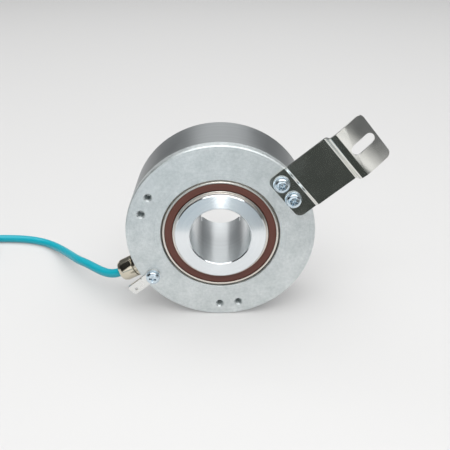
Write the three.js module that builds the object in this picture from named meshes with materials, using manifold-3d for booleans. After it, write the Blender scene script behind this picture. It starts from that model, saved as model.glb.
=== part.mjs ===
// Hollow-shaft incremental encoder, 100 mm size, with torque arm, cable gland and earth terminal.
// Units are millimetres. The shaft axis is the Y axis, the front face is the plane y = 0 and looks
// along -Y, the body runs to +Y, and +Z is up. The origin is on the shaft axis at the front face.
import * as THREE from "three";
import { mergeVertices } from "three/addons/utils/BufferGeometryUtils.js";
import Module from "manifold-3d";

const wasm = await Module();
wasm.setup();

// ---------------------------------------------------------------- driving dimensions
const CASE_R = 50; // housing radius
const CASE_L = 38.7; // front face to rear face
const SEAM_Y = 5.3; // joint line between front flange and shell
const WALL_R = 47.9; // inside of the shell wall
const PLATE_Y = 7; // back of the flange plate inside the shell
const BOSS_R = 35.3; // bearing boss outer radius
const BOSS_END = 24; // bearing boss rear end
const SEAT_R = 31.6; // bearing seat radius
const BRG_OD = 31.5,
  BRG_OUT_IN = 29.65,
  BRG_IN_OUT = 25.35,
  BRG_ID = 24.35; // thin-section bearing ring radii
const BRG_W = 8; // bearing width
const BRG1_Y = 0.6,
  BRG2_Y = 10.9; // front faces of the two bearings
const SHAFT_R = 24.15; // shaft radius in the bearings
const BORE_R = 16.2; // through bore
const BORE_CH = 1.2; // bore chamfer
const SHAFT_Y0 = -1.6,
  SHAFT_Y1 = 47.6; // shaft ends
const STUB_R = 22.4; // shaft radius behind the bearings
const HOLE_PCD = 43; // radius of the threaded hole circle
const PAIR_ANGLES = [36.95, 156.2, 276.3]; // centre of each pair of threaded holes
const PAIR_HALF = 7.0; // half the angle inside a pair
const M4_R = 1.65; // M4 core hole radius
const GROUND = { a: 213.8, r: 44.2 }; // earth screw
const COVER_ANGLES = [110, 230, 350],
  COVER_PCD = 45.2; // cover screws
const POST_ANGLES = [56, 176, 296]; // circuit board pillars
const ARM = {
  a: 40.5, // direction of the arm's length
  tc: 4.8, // centre line offset, to the lower side
  w: 26.6, // width
  t: 1.0, // sheet thickness
  slotU0: 82.7,
  slotU1: 89.9,
  slotT: 4.3,
  slotW: 5.6,
};
const GLAND = { a: 207.8, y: 12.6, r: 6.3, end: 63.7 };
const CABLE_D = 5,
  CABLE_Z = -47.4; // cable diameter and the height of its centre on the floor
const COIL = { x: -182, y: 53.44, rIn: 17.9, rOut: 33.1, z0: -48.7, z1: -39.2 };
const N = 36; // facets on the main round parts

// ---------------------------------------------------------------- helpers
const D2R = Math.PI / 180;
const polar = (r, deg, y = 0) =>
  new THREE.Vector3(r * Math.cos(deg * D2R), y, r * Math.sin(deg * D2R));

// Signed volume of an indexed geometry, used to turn its faces outwards.
function signedVolume(pos, idx) {
  let v = 0;
  for (let i = 0; i < idx.length; i += 3) {
    const [a, b, c] = [idx[i] * 3, idx[i + 1] * 3, idx[i + 2] * 3];
    v +=
      (pos[a] * (pos[b + 1] * pos[c + 2] - pos[b + 2] * pos[c + 1]) -
        pos[a + 1] * (pos[b] * pos[c + 2] - pos[b + 2] * pos[c]) +
        pos[a + 2] * (pos[b] * pos[c + 1] - pos[b + 1] * pos[c])) /
      6;
  }
  return v;
}
// three.js geometry, optionally placed, to a manifold solid that faces outwards.
function solid(geometry, matrix) {
  let g = geometry.index ? geometry.toNonIndexed() : geometry.clone();
  g = new THREE.BufferGeometry().setAttribute("position", g.getAttribute("position").clone());
  if (matrix) g.applyMatrix4(matrix);
  const m = mergeVertices(g, 1e-4);
  const src = m.index.array,
    tri = [];
  for (let i = 0; i < src.length; i += 3) {
    const [a, b, c] = [src[i], src[i + 1], src[i + 2]];
    if (a !== b && b !== c && a !== c) tri.push(a, b, c);
  }
  const pos = m.attributes.position.array;
  if (signedVolume(pos, tri) < 0)
    for (let i = 0; i < tri.length; i += 3) [tri[i + 1], tri[i + 2]] = [tri[i + 2], tri[i + 1]];
  return new wasm.Manifold(
    new wasm.Mesh({ numProp: 3, vertProperties: Float32Array.from(pos), triVerts: Uint32Array.from(tri) }),
  );
}
// Manifold solid to a three.js geometry with flat normals.
function geometryOf(s) {
  const m = s.getMesh(),
    n = m.numProp,
    v = new Float32Array(m.numVert * 3);
  for (let i = 0; i < m.numVert; i++) v.set(m.vertProperties.subarray(i * n, i * n + 3), i * 3);
  const g = new THREE.BufferGeometry()
    .setAttribute("position", new THREE.BufferAttribute(v, 3))
    .setIndex(new THREE.BufferAttribute(new Uint32Array(m.triVerts), 1));
  g.computeVertexNormals();
  return g;
}
const cut = (a, ...bs) => bs.reduce((s, b) => s.subtract(b), a);
const join = (a, ...bs) => bs.reduce((s, b) => s.add(b), a);

// Ring or turned piece about the Y axis from a closed [radius, y] outline.
function turned(outline, n = N, matrix) {
  const pts = outline.map(([r, y]) => new THREE.Vector2(r, y));
  pts.push(pts[0].clone());
  return solid(new THREE.LatheGeometry(pts, n), matrix);
}
// Solid turned piece whose outline starts and ends on the axis.
function turnedSolid(outline, n, matrix) {
  return solid(new THREE.LatheGeometry(outline.map(([r, y]) => new THREE.Vector2(r, y)), n), matrix);
}
const ringSection = (r0, r1, y0, y1) => [
  [r0, y0],
  [r1, y0],
  [r1, y1],
  [r0, y1],
];
const ring = (r0, r1, y0, y1, n = N) => turned(ringSection(r0, r1, y0, y1), n);
// Cylinder along +Y at (x, z), from y0 to y1.
function rodY(r, x, z, y0, y1, n = 16) {
  return solid(
    new THREE.CylinderGeometry(r, r, y1 - y0, n),
    new THREE.Matrix4().makeTranslation(x, (y0 + y1) / 2, z),
  );
}
const rodAt = (r, pr, deg, y0, y1, n = 16) => {
  const p = polar(pr, deg);
  return rodY(r, p.x, p.z, y0, y1, n);
};
// Frame whose local +Y runs radially outwards at angle deg, at depth y.
function radialFrame(deg, y) {
  const out = polar(1, deg),
    ax = new THREE.Vector3(0, 1, 0);
  const x = new THREE.Vector3().crossVectors(out, ax);
  return new THREE.Matrix4().makeBasis(x, out, ax).setPosition(0, y, 0);
}
// Box with its length r0..r1 along a radius, width w across it, from y0 to y1.
function radialBox(deg, r0, r1, w, y0, y1) {
  const out = polar(1, deg),
    ax = new THREE.Vector3(0, 1, 0);
  const x = new THREE.Vector3().crossVectors(out, ax);
  const m = new THREE.Matrix4().makeBasis(x, out, ax);
  m.setPosition(out.clone().multiplyScalar((r0 + r1) / 2).add(new THREE.Vector3(0, (y0 + y1) / 2, 0)));
  return solid(new THREE.BoxGeometry(w, r1 - r0, y1 - y0), m);
}
// Pan-head screw along -Y: head, shank and cross recess.
function panHead(x, z, seat, headR, headH, shankR, tip, n = 16) {
  const face = seat - headH;
  let s = turnedSolid(
    [
      [0, tip],
      [shankR, tip],
      [shankR, seat],
      [headR, seat],
      [headR, seat - headH * 0.45],
      [headR * 0.9, seat - headH * 0.8],
      [headR * 0.6, face],
      [0, face],
    ],
    n,
    new THREE.Matrix4().makeTranslation(x, 0, z),
  );
  for (const turn of [0, 90]) {
    const m = new THREE.Matrix4()
      .makeTranslation(x, face + headH * 0.2, z)
      .multiply(new THREE.Matrix4().makeRotationY((turn + 20) * D2R));
    s = s.subtract(solid(new THREE.BoxGeometry(headR * 1.05, headH * 0.9, headR * 0.24), m));
  }
  return s;
}

// ---------------------------------------------------------------- materials
const mat = (color, roughness, metalness) => new THREE.MeshStandardMaterial({ color, roughness, metalness });
const M = {
  case: mat(0xb9bfc0, 0.42, 1),
  machined: mat(0xc9cbcb, 0.22, 1),
  bearing: mat(0xb4b6b6, 0.2, 1),
  ball: mat(0xd6d8da, 0.08, 1),
  fkm: mat(0x6b3a2c, 0.5, 0),
  rubber: mat(0x1a1a1a, 0.7, 0),
  spring: mat(0x9aa0a2, 0.3, 1),
  zinc: mat(0xaebfc8, 0.25, 1),
  inox: mat(0x3c4040, 0.1, 1),
  nickel: mat(0xb9b39f, 0.15, 1),
  tin: mat(0xd8d8d4, 0.3, 1),
  pcb: mat(0x14562f, 0.45, 0),
  glass: mat(0xa8b2b4, 0.1, 0.2),
  chip: mat(0x17181a, 0.4, 0),
  brass: mat(0xc39a4d, 0.3, 1),
  teal: mat(0x0a9fb5, 0.4, 0),
  plug: mat(0x202224, 0.5, 0),
  tie: mat(0x222222, 0.6, 0),
};

const encoder = new THREE.Group();
encoder.name = "rotary_encoder";
const housing = new THREE.Group(),
  rotor = new THREE.Group(),
  electronics = new THREE.Group(),
  mounting = new THREE.Group(),
  cord = new THREE.Group();
encoder.add(housing, rotor, electronics, mounting, cord);
function add(group, name, s, material) {
  const mesh = new THREE.Mesh(geometryOf(s), material);
  mesh.name = name;
  group.add(mesh);
}

// ---------------------------------------------------------------- front flange with bearing boss
{
  let s = turned([
    [SEAT_R + 0.3, 0],
    [CASE_R - 0.6, 0],
    [CASE_R, 0.6],
    [CASE_R, SEAM_Y],
    [WALL_R - 0.2, SEAM_Y],
    [WALL_R - 0.2, PLATE_Y],
    [BOSS_R, PLATE_Y],
    [BOSS_R, BOSS_END],
    [SEAT_R, BOSS_END],
    [SEAT_R, 22.3],
    [33.2, 22.3],
    [33.2, 20.7],
    [SEAT_R, 20.7],
    [SEAT_R, 10.8],
    [29.9, 10.8],
    [29.9, 8.7],
    [SEAT_R, 8.7],
    [SEAT_R, 0.3],
  ]);
  // O-ring groove in the shell joint face
  s = s.subtract(ring(48.3, 49.4, SEAM_Y - 0.95, SEAM_Y + 1));
  const holes = [];
  for (const c of PAIR_ANGLES)
    for (const d of [-PAIR_HALF, PAIR_HALF]) holes.push(rodAt(M4_R, HOLE_PCD, c + d, -1, 6, 8));
  holes.push(rodAt(M4_R, GROUND.r, GROUND.a, -1, 6, 8));
  for (const a of COVER_ANGLES) holes.push(rodAt(1.35, COVER_PCD, a, 2.2, 12, 8));
  s = cut(s, ...holes);
  add(housing, "front_flange", s, M.case);
}

// ---------------------------------------------------------------- housing shell, open to the front
const glandFrame = radialFrame(GLAND.a, GLAND.y);
const glandRod = (r, r0, r1, n = 20) =>
  solid(
    new THREE.CylinderGeometry(r, r, r1 - r0, n),
    glandFrame.clone().multiply(new THREE.Matrix4().makeTranslation(0, (r0 + r1) / 2, 0)),
  );
{
  let s = turned([
    [27.2, CASE_L - 3.9],
    [WALL_R, CASE_L - 3.9],
    [WALL_R, SEAM_Y + 0.2],
    [CASE_R, SEAM_Y + 0.2],
    [CASE_R, CASE_L - 0.8],
    [CASE_R - 0.8, CASE_L],
    [27.2, CASE_L],
  ]);
  // thread boss for the gland inside the wall, clear of the flange plate
  let boss = glandRod(8, 44.6, 48.6, 20);
  boss = boss.subtract(
    solid(new THREE.BoxGeometry(200, 20, 200), new THREE.Matrix4().makeTranslation(0, PLATE_Y + 0.3 - 10, 0)),
  );
  s = s.add(boss);
  s = s.subtract(glandRod(5.4, 40, 60, 20)); // gland thread
  s = s.subtract(glandRod(6.8, 49.6, 60, 20)); // spot face
  for (const a of COVER_ANGLES) {
    s = s.subtract(rodAt(1.7, COVER_PCD, a, 30, 45, 8));
    s = s.subtract(rodAt(3.0, COVER_PCD, a, CASE_L - 2.5, 45, 12));
  }
  add(housing, "housing_shell", s, M.case);
}
{
  const section = [];
  for (let i = 0; i < 6; i++)
    section.push([48.85 + 0.42 * Math.cos(i * 60 * D2R), 4.9 + 0.42 * Math.sin(i * 60 * D2R)]);
  add(housing, "housing_o_ring", turned(section, N), M.rubber);
}
COVER_ANGLES.forEach((a, i) => {
  // M3 socket head screw put in from the rear
  const p = polar(COVER_PCD, a);
  const seat = CASE_L - 2.4;
  let s = turnedSolid(
    [
      [0, 3],
      [1.15, 3],
      [1.15, seat],
      [2.75, seat],
      [2.75, CASE_L - 0.3],
      [0, CASE_L - 0.3],
    ],
    16,
    new THREE.Matrix4().makeTranslation(p.x, 0, p.z),
  );
  s = s.subtract(rodY(1.25, p.x, p.z, CASE_L - 1.6, CASE_L + 2, 6));
  add(housing, "cover_screw_" + (i + 1), s, M.zinc);
});

// ---------------------------------------------------------------- hollow shaft with slotted clamping end
{
  let s = turned([
    [BORE_R + BORE_CH, SHAFT_Y0],
    [SHAFT_R - 0.5, SHAFT_Y0],
    [SHAFT_R, SHAFT_Y0 + 0.5],
    [SHAFT_R, -0.05],
    [23.3, -0.05],
    [23.3, 0.5],
    [SHAFT_R, 0.5],
    [SHAFT_R, 19],
    [25.5, 19],
    [25.5, 20.4],
    [STUB_R, 20.4],
    [STUB_R, SHAFT_Y1 - 0.5],
    [STUB_R - 0.5, SHAFT_Y1],
    [BORE_R + BORE_CH, SHAFT_Y1],
    [BORE_R, SHAFT_Y1 - BORE_CH],
    [BORE_R, SHAFT_Y0 + BORE_CH],
  ]);
  // four saw cuts let the clamp ring close the rear end on the machine shaft
  for (const a of [45, 135, 225, 315]) s = s.subtract(radialBox(a, 14, 26, 1.2, 40.4, 50));
  add(rotor, "hollow_shaft", s, M.machined);
}
// snap ring that holds the inner rings on the shaft
{
  let s = ring(23.4, 24.8, 0.02, 0.46);
  s = s.subtract(radialBox(270, 20, 30, 3.2, -1, 2));
  add(rotor, "shaft_snap_ring", s, M.spring);
}

// ---------------------------------------------------------------- bearings
function bearing(tag, y0) {
  add(housing, tag + "_bearing_outer_ring", ring(BRG_OUT_IN, BRG_OD, y0, y0 + BRG_W), M.bearing);
  add(rotor, tag + "_bearing_inner_ring", ring(BRG_ID, BRG_IN_OUT, y0, y0 + BRG_W), M.bearing);
  // cage with its balls
  const count = 16,
    pr = (BRG_OUT_IN + BRG_IN_OUT) / 2,
    yc = y0 + BRG_W / 2;
  let s = ring(pr - 0.45, pr + 0.45, yc - 1.3, yc + 1.3, 32);
  const g = new THREE.IcosahedronGeometry(1.6, 0);
  const balls = [];
  for (let i = 0; i < count; i++) {
    const p = polar(pr, (i * 360) / count, yc);
    balls.push(solid(g, new THREE.Matrix4().makeTranslation(p.x, p.y, p.z)));
  }
  s = join(s, ...balls);
  add(rotor, tag + "_bearing_cage", s, M.ball);
}
bearing("front", BRG1_Y);
bearing("rear", BRG2_Y);
// front contact seal, held in the outer ring, with its lip just off the inner ring
add(housing, "front_bearing_seal", ring(25.6, 29.55, BRG1_Y + 0.35, BRG1_Y + 1.35), M.fkm);
add(housing, "rear_bearing_seal", ring(25.6, 29.55, BRG2_Y + BRG_W - 1.35, BRG2_Y + BRG_W - 0.35), M.fkm);
add(rotor, "bearing_spacer", ring(24.4, 25.3, BRG1_Y + BRG_W + 0.02, BRG2_Y - 0.02), M.machined);
// wave spring between the rear bearing's outer ring and the retaining ring
{
  const seg = 32,
    y0 = BRG2_Y + BRG_W,
    pos = [],
    idx = [];
  for (let i = 0; i < seg; i++) {
    const a = (i / seg) * 2 * Math.PI,
      w = y0 + 0.75 + 0.5 * Math.cos(4 * a);
    for (const [r, dy] of [
      [29.9, -0.15],
      [31.3, -0.15],
      [31.3, 0.15],
      [29.9, 0.15],
    ])
      pos.push(r * Math.cos(a), w + dy, r * Math.sin(a));
  }
  for (let i = 0; i < seg; i++)
    for (let k = 0; k < 4; k++) {
      const a = i * 4 + k,
        b = i * 4 + ((k + 1) % 4),
        c = ((i + 1) % seg) * 4 + k,
        d = ((i + 1) % seg) * 4 + ((k + 1) % 4);
      idx.push(a, b, d, a, d, c);
    }
  const g = new THREE.BufferGeometry()
    .setAttribute("position", new THREE.Float32BufferAttribute(pos, 3))
    .setIndex(idx);
  add(housing, "wave_spring", solid(g), M.spring);
}
{
  let s = ring(30.0, 33.0, 20.85, 22.15, 36);
  s = s.subtract(radialBox(90, 26, 36, 9, 18, 25));
  add(housing, "retaining_ring", s, M.spring);
}
// rear shaft seal in the shell opening
add(
  housing,
  "rear_shaft_seal",
  turned([
    [22.9, 35.3],
    [27.1, 35.3],
    [27.1, 38.4],
    [24.2, 38.4],
    [24.2, 36.6],
    [22.9, 36.2],
  ], 36),
  M.fkm,
);

// ---------------------------------------------------------------- code disc and its hub
{
  let s = turned(
    [
      [22.5, 20.5],
      [27.2, 20.5],
      [27.2, 24.9],
      [30.6, 24.9],
      [30.6, 26.4],
      [27.4, 26.4],
      [27.4, 28.6],
      [22.5, 28.6],
    ],
    36,
  );
  const m = radialFrame(90, 22.8);
  s = s.subtract(solid(new THREE.CylinderGeometry(1.3, 1.3, 8, 10), m.clone().multiply(new THREE.Matrix4().makeTranslation(0, 25, 0))));
  add(rotor, "disc_hub", s, M.machined);
  add(
    rotor,
    "disc_hub_screw",
    solid(new THREE.CylinderGeometry(1.2, 1.2, 4, 10), m.clone().multiply(new THREE.Matrix4().makeTranslation(0, 24.7, 0))),
    M.chip,
  );
}
add(rotor, "code_disc", ring(27.5, 42.3, 26.42, 27.4), M.glass);

// ---------------------------------------------------------------- electronics
{
  let s = ring(31, 47.4, 31, 32.5, 36);
  for (const a of POST_ANGLES) s = s.subtract(rodAt(1.35, COVER_PCD, a, 29, 34, 10));
  for (const a of COVER_ANGLES) s = s.subtract(rodAt(2.0, COVER_PCD, a, 29, 34, 10));
  add(electronics, "circuit_board", s, M.pcb);
}
POST_ANGLES.forEach((a, i) => {
  const p = polar(COVER_PCD, a);
  let s = rodY(2.3, p.x, p.z, PLATE_Y + 0.02, 30.98, 6);
  s = s.subtract(rodY(1.25, p.x, p.z, 27, 32, 8));
  add(electronics, "board_pillar_" + (i + 1), s, M.brass);
  s = turnedSolid(
    [
      [0, 27.6],
      [1.1, 27.6],
      [1.1, 32.55],
      [2.1, 32.55],
      [2.1, 33.7],
      [1.4, 34.2],
      [0, 34.2],
    ],
    12,
    new THREE.Matrix4().makeTranslation(p.x, 0, p.z),
  );
  add(electronics, "board_screw_" + (i + 1), s, M.zinc);
});
add(electronics, "light_source", join(radialBox(256, 36.4, 42.6, 12, PLATE_Y + 0.02, 25.6)), M.chip);
{
  // sensor: a body and a smaller window on its front
  const s = join(radialBox(256, 35, 43, 12, 29.2, 30.98), radialBox(256, 36.5, 41.5, 8, 28.3, 29.4));
  add(electronics, "sensor_chip", s, M.chip);
}
add(electronics, "board_connector", radialBox(218, 39, 46, 8, 28.3, 30.98), M.tie);

// ---------------------------------------------------------------- clamp ring on the shaft's rear end
{
  let s = turned(
    [
      [STUB_R + 0.1, 39.9],
      [28.3, 39.9],
      [29, 40.6],
      [29, 45.9],
      [28.3, 46.6],
      [STUB_R + 0.1, 46.6],
    ],
    36,
  );
  s = s.subtract(radialBox(90, 20, 32, 1.6, 38, 50)); // split
  // clamp screw hole across the split, with a pocket for its head
  const across = (r, x0, x1, n) =>
    solid(
      new THREE.CylinderGeometry(r, r, x1 - x0, n),
      new THREE.Matrix4().makeTranslation((x0 + x1) / 2, 43.25, 25.75).multiply(new THREE.Matrix4().makeRotationZ(Math.PI / 2)),
    );
  s = s.subtract(across(1.35, -12, 20, 10));
  s = s.subtract(across(2.6, 4.6, 20, 12));
  add(rotor, "clamp_ring", s, M.machined);
  let k = across(1.25, -8.5, 4.8, 10).add(across(2.4, 4.75, 7.2, 12));
  k = k.subtract(across(1.2, 5.8, 9, 6));
  add(rotor, "clamp_screw", k, M.chip);
}

// ---------------------------------------------------------------- torque arm
// Sheet with five bends; u runs outwards along the arm, t across it to the lower side.
const armU = polar(1, ARM.a),
  armT = new THREE.Vector3(Math.sin(ARM.a * D2R), 0, -Math.cos(ARM.a * D2R));
{
  const front = [
    [38.1, -1.0],
    [49.4, -1.0],
    [50.2, -1.9],
    [73.6, -2.3],
    [75.3, -7.0],
    [79, -7.35],
    [83, -7.05],
    [87, -6.3],
    [91, -5.2],
    [94, -4.2],
  ];
  // back of the sheet: each corner moved by the thickness along its bisector
  const back = front.map(([u, y], i) => {
    const a = front[Math.max(i - 1, 0)],
      b = front[Math.min(i + 1, front.length - 1)];
    const n1 = [-(y - a[1]), u - a[0]],
      n2 = [-(b[1] - y), b[0] - u];
    const l1 = Math.hypot(...n1) || 1,
      l2 = Math.hypot(...n2) || 1;
    const m = i === 0 ? [n2[0] / l2, n2[1] / l2] : i === front.length - 1 ? [n1[0] / l1, n1[1] / l1] : [n1[0] / l1 + n2[0] / l2, n1[1] / l1 + n2[1] / l2];
    const k = i === 0 || i === front.length - 1 ? 1 : 2 / (m[0] * m[0] + m[1] * m[1]);
    return [u + ARM.t * k * m[0] * 0.98, y + ARM.t * k * m[1] * 0.98];
  });
  back[0] = [38.1, -0.02];
  const shape = new THREE.Shape();
  front.forEach(([u, y], i) => (i ? shape.lineTo(u, y) : shape.moveTo(u, y)));
  [...back].reverse().forEach(([u, y]) => shape.lineTo(u, y));
  shape.closePath();
  const g = new THREE.ExtrudeGeometry(shape, { depth: ARM.w, bevelEnabled: false, steps: 1 });
  // local x = u, local y = world y, local z = t
  const basis = new THREE.Matrix4().makeBasis(armU, new THREE.Vector3(0, 1, 0), armT);
  basis.setPosition(armT.clone().multiplyScalar(ARM.tc - ARM.w / 2));
  let s = solid(g, basis);
  // outline in the u,t plane with rounded corners, as a prism along Y
  const t0 = ARM.tc - ARM.w / 2,
    t1 = ARM.tc + ARM.w / 2,
    u0 = 38.1,
    u1 = 94;
  const outline = new THREE.Shape();
  const arc = (cu, ct, r, a0, a1, k = 5) => {
    for (let i = 0; i <= k; i++) {
      const a = (a0 + ((a1 - a0) * i) / k) * D2R;
      outline.lineTo(cu + r * Math.cos(a), ct + r * Math.sin(a));
    }
  };
  outline.moveTo(u0 + 3.4, t0);
  arc(u1 - 3, t0 + 3, 3, -90, 0);
  arc(u1 - 3, t1 - 3, 3, 0, 90);
  arc(u0 + 3.4, t1 - 3.4, 3.4, 90, 180);
  arc(u0 + 3.4, t0 + 3.4, 3.4, 180, 269);
  outline.closePath();
  const prism = (sh) => {
    const e = new THREE.ExtrudeGeometry(sh, { depth: 30, bevelEnabled: false, steps: 1 });
    // shape x = u, shape y = t, depth along -Y... the helper turns faces outwards
    const b = new THREE.Matrix4().makeBasis(armU, armT, new THREE.Vector3(0, 1, 0));
    b.setPosition(new THREE.Vector3(0, -20, 0));
    return solid(e, b);
  };
  s = s.intersect(prism(outline));
  const slot = new THREE.Shape();
  const h = ARM.slotW / 2;
  for (let i = 0; i <= 8; i++) {
    const a = (-90 + (180 * i) / 8) * D2R;
    const q = [ARM.slotU1 + h * Math.cos(a), ARM.slotT + h * Math.sin(a)];
    i ? slot.lineTo(...q) : slot.moveTo(...q);
  }
  for (let i = 0; i <= 8; i++) {
    const a = (90 + (180 * i) / 8) * D2R;
    slot.lineTo(ARM.slotU0 + h * Math.cos(a), ARM.slotT + h * Math.sin(a));
  }
  slot.closePath();
  s = s.subtract(prism(slot));
  for (const d of [-PAIR_HALF, PAIR_HALF]) s = s.subtract(rodAt(2.2, HOLE_PCD, PAIR_ANGLES[0] + d, -10, 5, 14));
  add(mounting, "torque_arm", s, M.inox);
}
[-1, 1].forEach((k, i) => {
  const a = PAIR_ANGLES[0] + k * PAIR_HALF,
    p = polar(HOLE_PCD, a);
  add(mounting, "arm_washer_" + (i + 1), (() => {
    let w = rodY(4.3, p.x, p.z, -1.8, -1.02, 20);
    return w.subtract(rodY(2.2, p.x, p.z, -3, 1, 12));
  })(), M.zinc);
  add(mounting, "arm_screw_" + (i + 1), panHead(p.x, p.z, -1.85, 3.9, 2.6, 1.42, 5.2), M.zinc);
});

// ---------------------------------------------------------------- earth terminal
{
  // ring tongue under the screw, running out past the rim to a flat blade with a turned-up edge
  const out = polar(1, GROUND.a + 4.9),
    side = new THREE.Vector3(-out.z, 0, out.x); // to the lower right
  const c = polar(GROUND.r, GROUND.a);
  const at = (u, v) => [c.x + out.x * u + side.x * v, c.z + out.z * u + side.z * v];
  const shape = new THREE.Shape();
  const outline = [];
  for (let i = 0; i <= 12; i++) {
    const a = (52 + (256 * i) / 12) * D2R;
    outline.push(at(4.1 * Math.cos(a), 4.1 * Math.sin(a)));
  }
  outline.push(at(5.2, -3.42), at(14.9, -3.42), at(16.0, -2.3), at(16.0, 1.8), at(14.9, 2.88), at(5.2, 2.88));
  outline.forEach(([x, z], i) => (i ? shape.lineTo(x, z) : shape.moveTo(x, z)));
  shape.closePath();
  const basis = new THREE.Matrix4().makeBasis(new THREE.Vector3(1, 0, 0), new THREE.Vector3(0, 0, 1), new THREE.Vector3(0, 1, 0));
  basis.setPosition(new THREE.Vector3(0, -0.82, 0));
  let s = solid(new THREE.ExtrudeGeometry(shape, { depth: 0.8, bevelEnabled: false, steps: 1 }), basis);
  // turned-up edge along the upper side
  const lip = new THREE.Matrix4().makeBasis(out, side, new THREE.Vector3(0, 1, 0));
  lip.setPosition(c.clone().addScaledVector(out, 10.4).addScaledVector(side, -3.02).add(new THREE.Vector3(0, -1.25, 0)));
  s = s.add(solid(new THREE.BoxGeometry(8.8, 0.8, 1.0), lip));
  s = s.subtract(rodY(2.15, c.x, c.z, -3, 2, 14));
  const h = at(12.6, 0.4);
  s = s.subtract(rodY(0.85, h[0], h[1], -3, 2, 10));
  add(mounting, "earth_terminal", s, M.tin);
  add(mounting, "earth_washer", rodY(3.9, c.x, c.z, -1.6, -0.85, 18).subtract(rodY(2.15, c.x, c.z, -3, 2, 12)), M.zinc);
  add(mounting, "earth_screw", panHead(c.x, c.z, -1.65, 3.7, 2.5, 1.42, 5.2), M.zinc);
}

// ---------------------------------------------------------------- cable gland
function glandTurned(outline, n = 24, closed = true) {
  return closed ? turned(outline, n, glandFrame) : turnedSolid(outline, n, glandFrame);
}
add(
  mounting,
  "gland_body",
  glandTurned([
    [3.3, 44.8],
    [5.25, 44.8],
    [5.25, 50.5],
    [6.3, 50.5],
    [6.3, 54.2],
    [5.2, 54.2],
    [5.2, 57.5],
    [3.3, 57.5],
  ]),
  M.nickel,
);
add(mounting, "gland_o_ring", glandTurned(ringSection(5.35, 6.2, 49.65, 50.45), 20), M.rubber);
add(
  mounting,
  "gland_nut",
  glandTurned([
    [5.4, 54.5],
    [6.3, 54.5],
    [6.3, 61.6],
    [5.6, 63.1],
    [4.6, GLAND.end],
    [3.0, GLAND.end],
    [3.0, 62],
    [5.4, 60.5],
  ]),
  M.nickel,
);
add(
  mounting,
  "gland_seal",
  glandTurned([
    [2.75, 57.9],
    [5.1, 57.9],
    [5.1, 60.1],
    [3.6, 61.3],
    [2.75, 61.3],
  ], 16),
  M.rubber,
);
// cable inside the gland, and the bundle of cores to the board connector
{
  const inner = glandTurned(
    [
      [0, 42.5],
      [2.45, 42.5],
      [2.45, 63.0],
      [0, 63.0],
    ],
    12,
    false,
  );
  add(cord, "cable_inside_gland", inner, M.teal);
  const a = polar(42.1, GLAND.a, GLAND.y);
  const curve = new THREE.CatmullRomCurve3([
    a,
    polar(40.3, GLAND.a, GLAND.y + 0.4),
    polar(38.7, GLAND.a + 1, GLAND.y + 4),
    polar(38.2, GLAND.a + 2, 18),
    polar(39.5, GLAND.a + 3, 20.5),
    polar(44.6, GLAND.a + 6, 22.4),
    polar(44.8, 217, 25.2),
    polar(44.8, 218, 28.05),
  ]);
  const sec = new THREE.Shape();
  for (let i = 0; i < 8; i++) {
    const q = [1.2 * Math.cos(i * 45 * D2R), 1.2 * Math.sin(i * 45 * D2R)];
    i ? sec.lineTo(...q) : sec.moveTo(...q);
  }
  sec.closePath();
  add(electronics, "signal_cores", solid(new THREE.ExtrudeGeometry(sec, { steps: 22, extrudePath: curve, bevelEnabled: false })), M.teal);
}

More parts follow.
